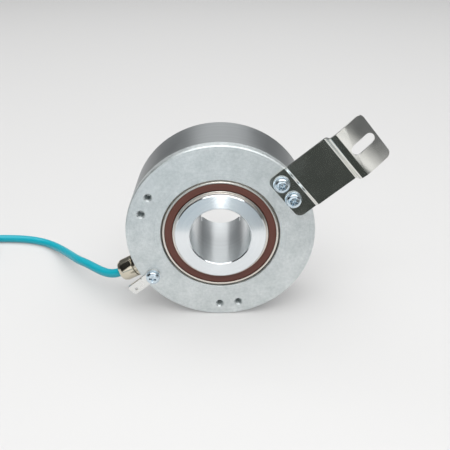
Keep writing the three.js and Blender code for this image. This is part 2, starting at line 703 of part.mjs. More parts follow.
// ---------------------------------------------------------------- cord outside
// Free cord: out of the gland, down to the floor, then to a coil and its plug.
const tubeSection = (r, n) => {
  const s = new THREE.Shape();
  for (let i = 0; i < n; i++) {
    const q = [r * Math.cos((i * 2 * Math.PI) / n), r * Math.sin((i * 2 * Math.PI) / n)];
    i ? s.lineTo(...q) : s.moveTo(...q);
  }
  s.closePath();
  return s;
};
{
  const start = polar(GLAND.end + 0.3, GLAND.a, GLAND.y),
    out = polar(1, GLAND.a);
  const leave = new THREE.Vector3(out.x, 0.146, out.z - 0.067).normalize();
  const mid = new THREE.Vector3(-84.64, 34.936, -36.438);
  const land = new THREE.Vector3(-121.744, 78.838, CABLE_Z),
    heading = new THREE.Vector3(Math.cos(2.704), Math.sin(2.704), 0);
  const toward = land.clone().sub(start).normalize();
  const far = new THREE.Vector3(-150, 83.94, CABLE_Z);
  const down = new THREE.CubicBezierCurve3(
    start,
    start.clone().addScaledVector(leave, 10.352),
    mid.clone().addScaledVector(toward, -16.288),
    mid,
  );
  const settle = new THREE.CubicBezierCurve3(
    mid,
    mid.clone().addScaledVector(toward, 11.543),
    land.clone().addScaledVector(heading, -16.4),
    land,
  );
  const along = new THREE.CubicBezierCurve3(
    land,
    land.clone().addScaledVector(heading, 10),
    far.clone().add(new THREE.Vector3(10, 0, 0)),
    far,
  );
  const pts = [
    ...down.getSpacedPoints(6),
    ...settle.getSpacedPoints(6).slice(1),
    ...along.getSpacedPoints(4).slice(1),
    new THREE.Vector3(-163.6, 83.94, CABLE_Z),
  ];
  const path = new THREE.CatmullRomCurve3(pts, false, "centripetal");
  add(
    cord,
    "cable",
    solid(new THREE.ExtrudeGeometry(tubeSection(CABLE_D / 2, 10), { steps: 20, extrudePath: path, bevelEnabled: false })),
    M.teal,
  );
}
{
  // coil of the spare length, five and a quarter turns in two layers
  const flat = new THREE.Matrix4()
    .makeTranslation(COIL.x, COIL.y, 0)
    .multiply(new THREE.Matrix4().makeRotationX(Math.PI / 2));
  const c = 1.2,
    { rIn, rOut, z0, z1 } = COIL;
  const s = turned(
    [
      [rIn + c, z0],
      [rOut - c, z0],
      [rOut, z0 + c],
      [rOut, z1 - c],
      [rOut - c, z1],
      [rIn + c, z1],
      [rIn, z1 - c],
      [rIn, z0 + c],
    ],
    32,
    flat,
  );
  add(cord, "cable_coil", s, M.teal);
  // tie round the bundle
  const a = 300;
  const dir = new THREE.Vector3(Math.cos(a * D2R), Math.sin(a * D2R), 0),
    tan = new THREE.Vector3(-dir.y, dir.x, 0);
  const box = (r0, r1, w, za, zb) => {
    const m = new THREE.Matrix4().makeBasis(dir, tan, new THREE.Vector3(0, 0, 1));
    m.setPosition(dir.clone().multiplyScalar((r0 + r1) / 2).add(new THREE.Vector3(COIL.x, COIL.y, (za + zb) / 2)));
    return solid(new THREE.BoxGeometry(r1 - r0, w, zb - za), m);
  };
  add(
    cord,
    "coil_tie",
    box(rIn - 1.2, rOut + 1.2, 3.5, z0 - 1.2, z1 + 1.2).subtract(box(rIn - 0.4, rOut + 0.4, 6, z0 - 0.4, z1 + 0.4)),
    M.tie,
  );
}
{
  // tail and round plug, lying on the floor beside the coil
  const px = COIL.x - 30.5,
    pz = -42.5;
  const path = new THREE.CatmullRomCurve3([
    new THREE.Vector3(px, COIL.y - 18.4, -41.9),
    new THREE.Vector3(px, 31.5, -42.2),
    new THREE.Vector3(px, 27.3, pz),
  ]);
  add(
    cord,
    "cable_tail",
    solid(new THREE.ExtrudeGeometry(tubeSection(CABLE_D / 2, 10), { steps: 3, extrudePath: path, bevelEnabled: false })),
    M.teal,
  );
  const at = new THREE.Matrix4().makeTranslation(px, 0, pz);
  add(
    cord,
    "plug_body",
    turnedSolid(
      [
        [0, 27],
        [3.3, 27],
        [4.6, 25],
        [5.4, 19.6],
        [6.9, 19],
        [7.1, 16],
        [7.1, 3],
        [6.4, 2],
        [5.2, 2],
        [5.2, -8],
        [0, -8],
      ],
      24,
      at,
    ),
    M.plug,
  );
  add(cord, "plug_coupling_nut", turned([[5.5, 1.6], [7.3, 1.2], [7.3, -12.6], [6.6, -13.2], [5.5, -13.2]], 24, at), M.nickel);
  let insert = rodY(4.4, px, pz, -10.2, -8.3, 16);
  for (const [dx, dz] of [[0, 0], [1.9, 0], [-1.9, 0], [0, 1.9], [0, -1.9]])
    insert = insert.add(rodY(0.5, px + dx, pz + dz, -13, -9, 8));
  add(cord, "plug_pins", insert, M.brass);
}

export default encoder;
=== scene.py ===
import bpy, bmesh, math
from mathutils import Matrix, Vector


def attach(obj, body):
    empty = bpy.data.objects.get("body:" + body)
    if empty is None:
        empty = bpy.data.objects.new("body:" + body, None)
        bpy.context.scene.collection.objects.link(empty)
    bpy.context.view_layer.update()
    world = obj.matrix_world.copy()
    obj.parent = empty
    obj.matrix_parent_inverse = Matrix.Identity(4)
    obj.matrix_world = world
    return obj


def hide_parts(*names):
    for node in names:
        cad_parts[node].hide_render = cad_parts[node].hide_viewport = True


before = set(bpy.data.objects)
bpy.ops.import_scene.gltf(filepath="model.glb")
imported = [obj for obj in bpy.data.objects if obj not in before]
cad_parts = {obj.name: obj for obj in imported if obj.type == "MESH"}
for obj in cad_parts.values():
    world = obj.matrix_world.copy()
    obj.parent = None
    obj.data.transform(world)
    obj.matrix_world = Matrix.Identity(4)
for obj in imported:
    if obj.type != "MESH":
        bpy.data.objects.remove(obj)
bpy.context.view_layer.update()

MM = 0.001
D2R = math.pi / 180
scene = bpy.context.scene

# ------------------------------------------------------------------ camera
cam_data = bpy.data.cameras.new("camera")
cam_data.sensor_width = 36.0
cam_data.lens = 46.68
cam = bpy.data.objects.new("camera", cam_data)
cam.location = (0.0018556, -0.2708114, 0.1463618)
cam.rotation_euler = (math.radians(90 - 27.337), 0, math.radians(-0.1266))
scene.collection.objects.link(cam)
scene.camera = cam


# ------------------------------------------------------------------ mesh helpers
def polar(r, deg, y=0.0):
    return Vector((r * math.cos(deg * D2R), y, r * math.sin(deg * D2R)))


def radial_frame(deg, y):
    """Local +Y points radially outwards at angle deg, at depth y (mm)."""
    out, ax = polar(1, deg), Vector((0, 1, 0))
    x = out.cross(ax)
    m = Matrix((x, out, ax)).transposed().to_4x4()
    m.translation = Vector((0, y, 0))
    return m


def make(name, verts, faces, matrix=None, sharp=32, smooth=True):
    """A mesh object from points in millimetres."""
    me = bpy.data.meshes.new(name)
    pts = [Vector(v) for v in verts]
    if matrix is not None:
        pts = [matrix @ p for p in pts]
    me.from_pydata([tuple(p * MM) for p in pts], [], faces)
    me.validate()
    bm = bmesh.new()
    bm.from_mesh(me)
    bmesh.ops.remove_doubles(bm, verts=bm.verts, dist=1e-7)
    bmesh.ops.recalc_face_normals(bm, faces=bm.faces)
    bm.to_mesh(me)
    bm.free()
    o = bpy.data.objects.new(name, me)
    scene.collection.objects.link(o)
    shade(o, sharp, smooth)
    return o


def shade(o, sharp=32, smooth=True):
    me = o.data
    for p in me.polygons:
        p.use_smooth = smooth
    if smooth:
        me.set_sharp_from_angle(angle=math.radians(sharp))


def rounded(outline, radius=0.15, seg=3, closed=True, keep=()):
    """The [r, y] outline with each corner rounded, apart from the ones in keep."""
    pts = [Vector(p[:2]) for p in outline]
    rad = [p[2] if len(p) > 2 else radius for p in outline]
    n, out = len(pts), []
    for i, p in enumerate(pts):
        if (not closed and i in (0, n - 1)) or i in keep or rad[i] <= 0 or abs(p.x) < 1e-9:
            out.append(p)
            continue
        a, b = pts[i - 1] - p, pts[(i + 1) % n] - p
        la, lb = a.length, b.length
        a.normalize()
        b.normalize()
        ang = a.angle(b)
        if ang > math.radians(172):
            out.append(p)
            continue
        d = min(rad[i] / math.tan(ang / 2), 0.45 * la, 0.45 * lb)
        p0, p1 = p + a * d, p + b * d
        for k in range(seg + 1):
            t = k / seg
            out.append(p0 * (1 - t) ** 2 + p * 2 * t * (1 - t) + p1 * t ** 2)
    return [(v.x, v.y) for v in out]


def lathe(name, outline, n=144, matrix=None, closed=True, sharp=32, wave=None):
    """Turned piece about the Y axis. wave(r, y, angle) may move a radius."""
    m = len(outline)
    verts, faces = [], []
    for i in range(n):
        a = 2 * math.pi * i / n
        for r, y in outline:
            rr = wave(r, y, a) if wave else r
            verts.append((rr * math.cos(a), y, rr * math.sin(a)))
    for i in range(n):
        j = (i + 1) % n
        for k in range(m if closed else m - 1):
            l = (k + 1) % m
            a, b, c, d = i * m + k, i * m + l, j * m + l, j * m + k
            r0, r1 = outline[k][0], outline[l][0]
            if r0 < 1e-9 and r1 < 1e-9:
                continue
            if r0 < 1e-9:
                faces.append((a, b, c))
            elif r1 < 1e-9:
                faces.append((a, b, d))
            else:
                faces.append((a, b, c, d))
    return make(name, verts, faces, matrix, sharp)


def ring(name, r0, r1, y0, y1, n=144, rad=0.15, matrix=None):
    return lathe(name, rounded([(r0, y0), (r1, y0), (r1, y1), (r0, y1)], rad), n, matrix)


def prism(name, points, lo, hi, basis):
    """Closed outline (a, b) extruded along the third axis of basis from lo to hi."""
    n = len(points)
    verts = [(a, b, lo) for a, b in points] + [(a, b, hi) for a, b in points]
    faces = [tuple(range(n))[::-1], tuple(range(n, 2 * n))]
    faces += [(i, (i + 1) % n, n + (i + 1) % n, n + i) for i in range(n)]
    return make(name, verts, faces, basis)


def modify(o, kind, **kw):
    m = o.modifiers.new(kind.lower(), kind)
    for k, v in kw.items():
        setattr(m, k, v)
    return m


def bake(o):
    """Applies an object's modifiers."""
    dg = bpy.context.evaluated_depsgraph_get()
    me = bpy.data.meshes.new_from_object(o.evaluated_get(dg), preserve_all_data_layers=True, depsgraph=dg)
    old = o.data
    o.modifiers.clear()
    o.data = me
    bpy.data.meshes.remove(old)


def boolean(o, cutters, op="DIFFERENCE", sharp=32):
    for c in cutters:
        modify(o, "BOOLEAN", operation=op, object=c, solver="EXACT")
    bake(o)
    for c in cutters:
        me = c.data
        bpy.data.objects.remove(c)
        bpy.data.meshes.remove(me)
    me = o.data
    bm = bmesh.new()
    bm.from_mesh(me)
    bmesh.ops.remove_doubles(bm, verts=bm.verts, dist=2e-7)
    bmesh.ops.dissolve_degenerate(bm, edges=bm.edges, dist=2e-7)
    bm.to_mesh(me)
    bm.free()
    shade(o, sharp)
    return o


def soften(o, width, angle=35, seg=2):
    """Bevels hard edges and keeps big faces flat."""
    modify(o, "BEVEL", width=width * MM, segments=seg, limit_method="ANGLE", angle_limit=math.radians(angle),
           use_clamp_overlap=True, harden_normals=False)
    bake(o)
    shade(o, 40)
    flatten(o)


def flatten(o):
    modify(o, "WEIGHTED_NORMAL", keep_sharp=True, weight=80)
    bake(o)


def merge(name, objs):
    """Joins objects into one."""
    bm = bmesh.new()
    for o in objs:
        bm.from_mesh(o.data)
    me = bpy.data.meshes.new(name)
    bm.to_mesh(me)
    bm.free()
    for o in objs:
        d = o.data
        bpy.data.objects.remove(o)
        bpy.data.meshes.remove(d)
    out = bpy.data.objects.new(name, me)
    scene.collection.objects.link(out)
    me.set_sharp_from_angle(angle=math.radians(32))
    return out


def put(o, material, body, slot, *nodes):
    o.data.materials.clear()
    o.data.materials.append(material)
    if nodes:
        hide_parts(*nodes)
    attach(o, body)
    return o


# ------------------------------------------------------------------ material helpers
class Mat:
    def __init__(self, name, color, rough, metal, **sockets):
        self.m = bpy.data.materials.new(name)
        self.m.use_nodes = True
        self.nt = self.m.node_tree
        self.b = self.nt.nodes["Principled BSDF"]
        self.color, self.rough = color, rough
        self.b.inputs["Base Color"].default_value = (*color, 1)
        self.b.inputs["Roughness"].default_value = rough
        self.b.inputs["Metallic"].default_value = metal
        for k, v in sockets.items():
            self.b.inputs[k.replace("_", " ")].default_value = v
        self.tc = self.nt.nodes.new("ShaderNodeTexCoord")
        self.bump_in = None

    def node(self, kind, **kw):
        n = self.nt.nodes.new(kind)
        for k, v in kw.items():
            setattr(n, k, v)
        return n

    def link(self, a, b):
        self.nt.links.new(a, b)

    def math(self, op, a, b=None, clamp=False):
        n = self.node("ShaderNodeMath", operation=op, use_clamp=clamp)
        for s, v in ((n.inputs[0], a), (n.inputs[1], b)):
            if v is None:
                continue
            if isinstance(v, (int, float)):
                s.default_value = v
            else:
                self.link(v, s)
        return n.outputs[0]

    def noise(self, scale, detail=4, rough=0.55, stretch=None, w=None):
        n = self.node("ShaderNodeTexNoise")
        if w is not None:
            n.noise_dimensions = "1D"
            self.link(w, n.inputs["W"])
        else:
            src = self.tc.outputs["Object"]
            if stretch:
                mp = self.node("ShaderNodeMapping")
                mp.inputs["Scale"].default_value = stretch
                self.link(src, mp.inputs["Vector"])
                src = mp.outputs[0]
            self.link(src, n.inputs["Vector"])
        n.inputs["Scale"].default_value = scale
        n.inputs["Detail"].default_value = detail
        n.inputs["Roughness"].default_value = rough
        return n.outputs["Fac"]

    def remap(self, value, lo, hi, out_lo, out_hi):
        n = self.node("ShaderNodeMapRange")
        n.inputs["From Min"].default_value = lo
        n.inputs["From Max"].default_value = hi
        n.inputs["To Min"].default_value = out_lo
        n.inputs["To Max"].default_value = out_hi
        self.link(value, n.inputs["Value"])
        return n.outputs[0]

    def axis_distance(self):
        """Distance from the Y axis, in metres, and the Y coordinate."""
        sep = self.node("ShaderNodeSeparateXYZ")
        self.link(self.tc.outputs["Object"], sep.inputs[0])
        x2 = self.math("MULTIPLY", sep.outputs[0], sep.outputs[0])
        z2 = self.math("MULTIPLY", sep.outputs[2], sep.outputs[2])
        return self.math("SQRT", self.math("ADD", x2, z2)), sep.outputs[1]

    def tint(self, value, amount, darker=0.85):
        """Varies the base colour with a 0..1 value."""
        mix = self.node("ShaderNodeMix", data_type="RGBA")
        mix.inputs[6].default_value = (*[c * (1 - amount * (1 - darker) * 3) for c in self.color], 1)
        mix.inputs[7].default_value = (*[min(1, c * (1 + amount)) for c in self.color], 1)
        self.link(value, mix.inputs[0])
        self.link(mix.outputs[2], self.b.inputs["Base Color"])
        return mix

    def rough_from(self, value, lo, hi):
        self.link(self.remap(value, 0.3, 0.7, lo, hi), self.b.inputs["Roughness"])

    def bump(self, height, distance, strength=1.0):
        n = self.node("ShaderNodeBump")
        n.inputs["Distance"].default_value = distance
        n.inputs["Strength"].default_value = strength
        self.link(height, n.inputs["Height"])
        if self.bump_in is not None:
            self.link(self.bump_in, n.inputs["Normal"])
        self.bump_in = n.outputs[0]
        self.link(self.bump_in, self.b.inputs["Normal"])
        return self

    def radial_tangent(self):
        t = self.node("ShaderNodeTangent", direction_type="RADIAL", axis="Y")
        self.link(t.outputs[0], self.b.inputs["Tangent"])
        return self


def turned_metal(name, color, rough, line=5200, depth=2.2e-6, aniso=0.0, spread=0.07, mottle=0.05, grain=0.0):
    """Metal with fine concentric tool marks about the Y axis."""
    s = Mat(name, color, rough, 1.0, Anisotropic=aniso)
    r, y = s.axis_distance()
    w = s.math("ADD", r, y)
    lines = s.noise(line, 3, 0.7, w=w)
    broad = s.noise(55, 3, 0.6)
    coarse = s.noise(420, 2, 0.5, w=w)
    s.rough_from(s.math("ADD", s.math("MULTIPLY", broad, 0.6), s.math("MULTIPLY", coarse, 0.4)), rough - spread, rough + spread)
    mixed = s.math("ADD", s.math("MULTIPLY", broad, 0.35), s.math("ADD", s.math("MULTIPLY", lines, 0.25), s.math("MULTIPLY", coarse, 0.40)))
    s.tint(s.remap(mixed, 0.36, 0.64, 0.0, 1.0), mottle)
    s.bump(lines, depth)
    if grain:
        s.bump(s.noise(3800, 2, 0.6), grain)
    if aniso:
        s.radial_tangent()
    return s.m


def plain_metal(name, color, rough, spread=0.06, mottle=0.05, scale=240, stretch=None, depth=3e-6, **kw):
    s = Mat(name, color, rough, 1.0, **kw)
    v = s.noise(scale, 5, 0.6, stretch)
    s.rough_from(v, max(0.02, rough - spread), rough + spread)
    s.tint(s.noise(scale * 0.3, 3), mottle)
    s.bump(s.noise(scale * 6, 3, 0.6, stretch), depth)
    return s.m


def plastic(name, color, rough, scale=1500, depth=8e-6, mottle=0.06, **kw):
    s = Mat(name, color, rough, 0.0, **kw)
    v = s.noise(scale, 4, 0.6)
    s.rough_from(v, rough - 0.06, rough + 0.08)
    s.tint(s.noise(scale * 0.08, 3), mottle)
    s.bump(v, depth)
    return s.m


# ------------------------------------------------------------------ the finishes
def blasted_face():
    """Faced and lightly blasted aluminium: cloudy patches, fine pits and very faint tool rings."""
    s = Mat("flange_face_aluminium", (0.70, 0.735, 0.735), 0.44, 1.0)
    r, y = s.axis_distance()
    rings = s.noise(1500, 2, 0.6, w=s.math("ADD", r, y))
    cloud = s.noise(95, 5, 0.62)
    speck = s.noise(560, 6, 0.72)
    mixed = s.math("ADD", s.math("MULTIPLY", cloud, 0.40), s.math("ADD", s.math("MULTIPLY", speck, 0.50), s.math("MULTIPLY", rings, 0.10)))
    ramp = s.remap(mixed, 0.34, 0.66, 0.0, 1.0)
    mix = s.node("ShaderNodeMix", data_type="RGBA")
    mix.inputs[6].default_value = (0.555, 0.605, 0.605, 1)
    mix.inputs[7].default_value = (0.87, 0.90, 0.905, 1)
    s.link(ramp, mix.inputs[0])
    s.link(mix.outputs[2], s.b.inputs["Base Color"])
    s.rough_from(speck, 0.44, 0.60)
    s.bump(s.noise(1400, 4, 0.65), 9e-6)
    s.bump(rings, 2.0e-6)
    return s.m


FACE = blasted_face()
SHELL = turned_metal("shell_aluminium", (0.372, 0.389, 0.396), 0.40, line=4200, depth=2.0e-6, spread=0.05, mottle=0.14)
BORE = turned_metal("bored_steel", (0.84, 0.87, 0.88), 0.34, line=5200, depth=1.6e-6, aniso=0.6, spread=0.04, mottle=0.06)
TURNED = turned_metal("turned_steel", (0.84, 0.87, 0.89), 0.20, line=5200, depth=3.0e-7, aniso=0.95, spread=0.02, mottle=0.04)
for turned in (TURNED, BORE):
    turned.node_tree.nodes["Principled BSDF"].inputs["Anisotropic Rotation"].default_value = 0.25
RING = turned_metal("ground_bearing_steel", (0.74, 0.69, 0.63), 0.20, line=7000, depth=6e-7, spread=0.04, mottle=0.04)
BALL = plain_metal("polished_ball_steel", (0.72, 0.73, 0.74), 0.07, 0.03, 0.03, 300, depth=3e-7)
SPRING = plain_metal("spring_steel_strip", (0.42, 0.43, 0.44), 0.28, 0.06, 0.08, 200, depth=2e-6)
BROWN = plastic("brown_seal_rubber", (0.104, 0.030, 0.019), 0.46, 1400, 7e-6, 0.10)
BLACK_RUBBER = plastic("black_rubber", (0.018, 0.018, 0.019), 0.55, 1600, 1e-5, 0.10)
ZINC = plain_metal("zinc_plated_steel", (0.66, 0.76, 0.83), 0.24, 0.07, 0.10, 260, depth=3e-6)
BLACK_STEEL = plain_metal("blackened_steel", (0.045, 0.045, 0.048), 0.32, 0.08, 0.10, 320, depth=4e-6)
NICKEL = plain_metal("nickel_plated_brass", (0.66, 0.61, 0.50), 0.13, 0.05, 0.06, 220, depth=1.5e-6)
TIN = plain_metal("tinned_brass", (0.82, 0.82, 0.80), 0.30, 0.07, 0.07, 300, depth=4e-6)
BRASS = plain_metal("turned_brass", (0.62, 0.42, 0.17), 0.24, 0.06, 0.08, 260, depth=3e-6)
CHIP = plastic("moulded_black_epoxy", (0.020, 0.021, 0.023), 0.38, 2200, 6e-6, 0.10)
PLUG = plastic("plug_black_polymer", (0.022, 0.023, 0.026), 0.42, 1800, 9e-6, 0.10)


def arm_steel():
    """Bright rolled stainless strip: long faint rolling lines and a few fine scratches."""
    s = Mat("bright_stainless_strip", (0.80, 0.80, 0.76), 0.11, 1.0)
    v = s.noise(140, 4, 0.6)
    s.rough_from(v, 0.08, 0.14)
    s.tint(s.noise(60, 3), 0.06)
    s.bump(s.noise(90, 3, 0.5), 3e-6, 0.5)
    s.bump(s.noise(2600, 2, 0.6), 4e-7)
    return s.m


ARM_STEEL = arm_steel()


def cable_jacket():
    """Extruded jacket: fine grain, faint lengthwise colour changes and dust."""
    s = Mat("teal_cable_jacket", (0.001, 0.315, 0.395), 0.36, 0.0)
    s.rough_from(s.noise(900, 4, 0.6), 0.28, 0.44)
    s.tint(s.noise(70, 3), 0.08)
    s.bump(s.noise(2400, 3, 0.6), 6e-6)
    return s.m


TEAL = cable_jacket()


def board_green():
    """Solder mask over copper traces, with the traces a little lighter and raised."""
    s = Mat("green_solder_mask", (0.012, 0.11, 0.045), 0.36, 0.0)
    v = s.node("ShaderNodeTexVoronoi", feature="DISTANCE_TO_EDGE")
    v.inputs["Scale"].default_value = 260
    s.link(s.tc.outputs["Object"], v.inputs["Vector"])
    trace = s.math("LESS_THAN", v.outputs["Distance"], 0.06)
    mix = s.node("ShaderNodeMix", data_type="RGBA")
    mix.inputs[6].default_value = (0.012, 0.11, 0.045, 1)
    mix.inputs[7].default_value = (0.03, 0.20, 0.07, 1)
    s.link(trace, mix.inputs[0])
    s.link(mix.outputs[2], s.b.inputs["Base Color"])
    s.rough_from(s.noise(700, 3), 0.30, 0.42)
    s.bump(trace, 3e-5)
    return s.m


def disc_glass():
    """Code disc: a clear ring with dark graduations in two tracks."""
    s = Mat("graduated_code_disc", (0.55, 0.60, 0.60), 0.12, 0.3)
    r, y = s.axis_distance()
    sep = s.node("ShaderNodeSeparateXYZ")
    s.link(s.tc.outputs["Object"], sep.inputs[0])
    ang = s.math("ARCTAN2", sep.outputs[2], sep.outputs[0])
    fine = s.math("GREATER_THAN", s.math("SINE", s.math("MULTIPLY", ang, 256)), 0)
    coarse = s.math("GREATER_THAN", s.math("SINE", s.math("MULTIPLY", ang, 1)), 0.999)
    band = s.math("MULTIPLY", s.math("GREATER_THAN", r, 0.0378), s.math("LESS_THAN", r, 0.0406))
    band2 = s.math("MULTIPLY", s.math("GREATER_THAN", r, 0.0352), s.math("LESS_THAN", r, 0.0366))
    mask = s.math("MAXIMUM", s.math("MULTIPLY", fine, band), s.math("MULTIPLY", coarse, band2))
    mix = s.node("ShaderNodeMix", data_type="RGBA")
    mix.inputs[6].default_value = (0.55, 0.60, 0.60, 1)
    mix.inputs[7].default_value = (0.03, 0.03, 0.035, 1)
    s.link(mask, mix.inputs[0])
    s.link(mix.outputs[2], s.b.inputs["Base Color"])
    s.rough_from(s.noise(500, 3), 0.08, 0.16)
    s.bump(s.noise(1500, 3), 5e-7)
    return s.m


BOARD, DISC = board_green(), disc_glass()

# ------------------------------------------------------------------ the cord
CORD_R = 2.5
GLAND_A, GLAND_Y = 207.8, 12.6
COIL = Vector((-182, 53.44, 0))


def smooth(t):
    t = min(1.0, max(0.0, t))
    return t * t * (3 - 2 * t)


def bezier(p0, p1, p2, p3, n):
    return [p0 * (1 - t) ** 3 + p1 * 3 * t * (1 - t) ** 2 + p2 * 3 * t * t * (1 - t) + p3 * t ** 3 for t in (i / n for i in range(n + 1))]


def cord_route():
    out = polar(1, GLAND_A)
    p0 = polar(64.0, GLAND_A, GLAND_Y)
    leave = Vector((out.x, 0.146, out.z - 0.067)).normalized()
    mid = Vector((-84.64, 34.936, -36.438))
    land = Vector((-121.744, 78.838, -47.4))
    heading = Vector((math.cos(2.704), math.sin(2.704), 0))
    toward = (land - p0).normalized()
    far = Vector((-150, 83.94, -47.4))
    pts = [polar(63.1, GLAND_A, GLAND_Y)]
    pts += bezier(p0, p0 + leave * 10.352, mid - toward * 16.288, mid, 18)
    pts += bezier(mid, mid + toward * 11.543, land - heading * 16.4, land, 18)[1:]
    pts += bezier(land, land + heading * 10, far + Vector((10, 0, 0)), far, 10)[1:]
    for i in range(1, 9):
        t = i / 9
        pts.append(Vector((-150 - 32 * t, 83.94, -47.4 + 1.2 * smooth(t))))
    radii = [30.5, 25.4, 20.4, 22.9, 28.0]
    step = 7.5
    k = 0
    while k * step <= 5 * 360 + 90:
        psi_all = k * step
        turn = int(psi_all // 360)
        psi = psi_all - 360 * turn
        if turn < 5:
            nxt = radii[turn + 1] if turn < 4 else 28.0
            r = radii[turn] + (nxt - radii[turn]) * smooth((psi - 280) / 80)
        if turn == 2:
            r = 20.4 - 2.5 * smooth((psi - 205) / 75)
            if psi > 280:
                r = 17.9 + 5.0 * smooth((psi - 280) / 80)
        if turn == 4:
            r = 28.0
        if turn == 5:
            r = 28.0 + 2.5 * smooth(psi / 90)
        if turn < 2:
            z = -46.2
        elif turn == 2:
            z = -46.2 + 4.37 * smooth((psi - 228) / 72)
        else:
            z = -41.83
        if 2 <= turn <= 4:
            z += 0.72 * smooth((psi - 262) / 30)
        if turn >= 3 and psi < 40 and turn < 5:
            z += 0.72 * (1 - smooth(psi / 40))
        if turn == 5:
            z = -41.83 + 0.72 * (1 - smooth(psi / 40)) + 0.72 * smooth((psi - 40) / 50)
        a = (90 + psi) * D2R
        pts.append(COIL + Vector((r * math.cos(a), r * math.sin(a), z)))
        k += 1
    px = -212.5
    for y, z in ((48.0, -41.25), (42.5, -41.55), (37.0, -41.9), (31.5, -42.25), (27.2, -42.5), (25.6, -42.5)):
        pts.append(Vector((px, y, z)))
    return pts


def tube(name, pts, radius, sides=20, caps=True):
    """A round tube along a polyline, with frames carried along it so that it never twists."""
    n = len(pts)
    tang = []
    for i in range(n):
        t = pts[min(i + 1, n - 1)] - pts[max(i - 1, 0)]
        tang.append(t.normalized())
    up = Vector((0, 0, 1)) if abs(tang[0].z) < 0.9 else Vector((1, 0, 0))
    side = tang[0].cross(up).normalized()
    verts, faces = [], []
    for i in range(n):
        side = (side - tang[i] * side.dot(tang[i])).normalized()
        other = tang[i].cross(side)
        for k in range(sides):
            a = 2 * math.pi * k / sides
            verts.append(pts[i] + (side * math.cos(a) + other * math.sin(a)) * radius)
    for i in range(n - 1):
        for k in range(sides):
            l = (k + 1) % sides
            faces.append((i * sides + k, i * sides + l, (i + 1) * sides + l, (i + 1) * sides + k))
    if caps:
        faces.append(tuple(range(sides))[::-1])
        faces.append(tuple((n - 1) * sides + k for k in range(sides)))
    return make(name, verts, faces, sharp=50)


route = cord_route()
cable = put(tube("cable_jacket_run", route, CORD_R, 20), TEAL, "housing", "cable_teal", "cable", "cable_coil", "cable_tail")
PLUG_AT = Matrix.Translation(Vector((-212.5, 0, -42.5)))


def strap():
    """Hook-and-loop strap round the coil, with its overlapped end."""
    a = 300 * D2R
    d, t = Vector((math.cos(a), math.sin(a), 0)), Vector((-math.sin(a), math.cos(a), 0))
    basis = Matrix((d, Vector((0, 0, 1)), t)).transposed().to_4x4()
    basis.translation = Vector((COIL.x, COIL.y, 0))
    r0, r1, z0, z1 = 17.9, 33.1, -48.7, -39.2

    def loop(g, rad):
        return rounded([(r0 - g, z0 - g), (r1 + g, z0 - g), (r1 + g, z1 + g), (r0 - g, z1 + g)], rad, 6)

    outer, inner = loop(1.2, 2.6), loop(0.4, 2.0)
    n = len(outer)
    verts, faces = [], []
    for w in (-1.75, 1.75):
        verts += [(p[0], p[1], w) for p in outer] + [(p[0], p[1], w) for p in inner]
    for i in range(n):
        j = (i + 1) % n
        faces += [(i, j, 2 * n + j, 2 * n + i), (n + i, 3 * n + i, 3 * n + j, n + j),
                  (i, n + i, n + j, j), (2 * n + i, 2 * n + j, 3 * n + j, 3 * n + i)]
    band = make("coil_strap", verts, faces, basis)
    tab = prism("tab", rounded([(22, z1 + 1.15), (30, z1 + 1.15), (30, z1 + 1.9), (22, z1 + 1.9)], 0.3), -1.7, 1.7, basis)
    boolean(band, [tab], "UNION")
    soften(band, 0.15)
    return band


put(strap(), PLUG, "housing", "plug_black", "coil_tie")


# ------------------------------------------------------------------ plug
def knurl(depth, count, lo, hi):
    return lambda r, y, a: r - (depth * (0.5 - 0.5 * math.cos(count * a)) if lo < y < hi and r > 6.4 else 0)


body_outline = rounded([(0, 27, 0), (3.3, 27, 0.5), (4.6, 25, 0.6), (4.6, 24, 0.3), (4.2, 23.8, 0.2), (4.2, 23.0, 0.2), (4.8, 22.8, 0.3),
                        (5.0, 21.8, 0.3), (4.5, 21.6, 0.2), (4.5, 20.8, 0.2), (5.2, 20.6, 0.3), (5.4, 19.6, 0.3), (6.9, 19, 0.5),
                        (7.1, 16, 0.5), (7.1, 3, 0.5), (6.4, 2, 0.3), (5.2, 2, 0.2), (5.2, -8, 0.3), (0, -8, 0)], 0.3)
plug_body = lathe("plug_housing", body_outline, 120, PLUG_AT, True,
                  wave=lambda r, y, a: r - (0.35 * (0.5 - 0.5 * math.cos(24 * a)) if 4.5 < y < 15 and r > 6.9 else 0))
put(plug_body, PLUG, "housing", "plug_black", "plug_body")
nut_outline = [(5.5, 1.6), (6.9, 1.6), (7.3, 1.2), (7.3, 0.2), (7.3, 0.0), (7.3, -11.0), (7.3, -11.2), (7.3, -12.6), (6.6, -13.2), (5.5, -13.2)]
plug_nut = lathe("plug_coupling", rounded(nut_outline, 0.15), 168, PLUG_AT, True, wave=knurl(0.35, 42, -11.1, 0.1))
put(plug_nut, NICKEL, "housing", "nickel_brass", "plug_coupling_nut")
parts = [lathe("p", rounded([(0, -8.05), (4.4, -8.05), (4.4, -10.2), (0, -10.2)], 0.2), 48, PLUG_AT)]
for dx, dz in ((0, 0), (1.9, 0), (-1.9, 0), (0, 1.9), (0, -1.9)):
    parts.append(lathe("p", rounded([(0, -9), (0.5, -9), (0.5, -13), (0, -13)], 0.3), 20, PLUG_AT @ Matrix.Translation(Vector((dx, 0, dz)))))
put(merge("plug_contact_set", parts), BRASS, "housing", "pillar_brass", "plug_pins")

# ------------------------------------------------------------------ housing
HOLE_R = 43
PAIRS = [36.95, 156.2, 276.3]
COVER = [110, 230, 350]
EARTH_A, EARTH_R = 213.8, 44.2


def at_polar(r, deg, y=0):
    p = polar(r, deg)
    return Matrix.Translation(Vector((p.x, y, p.z)))


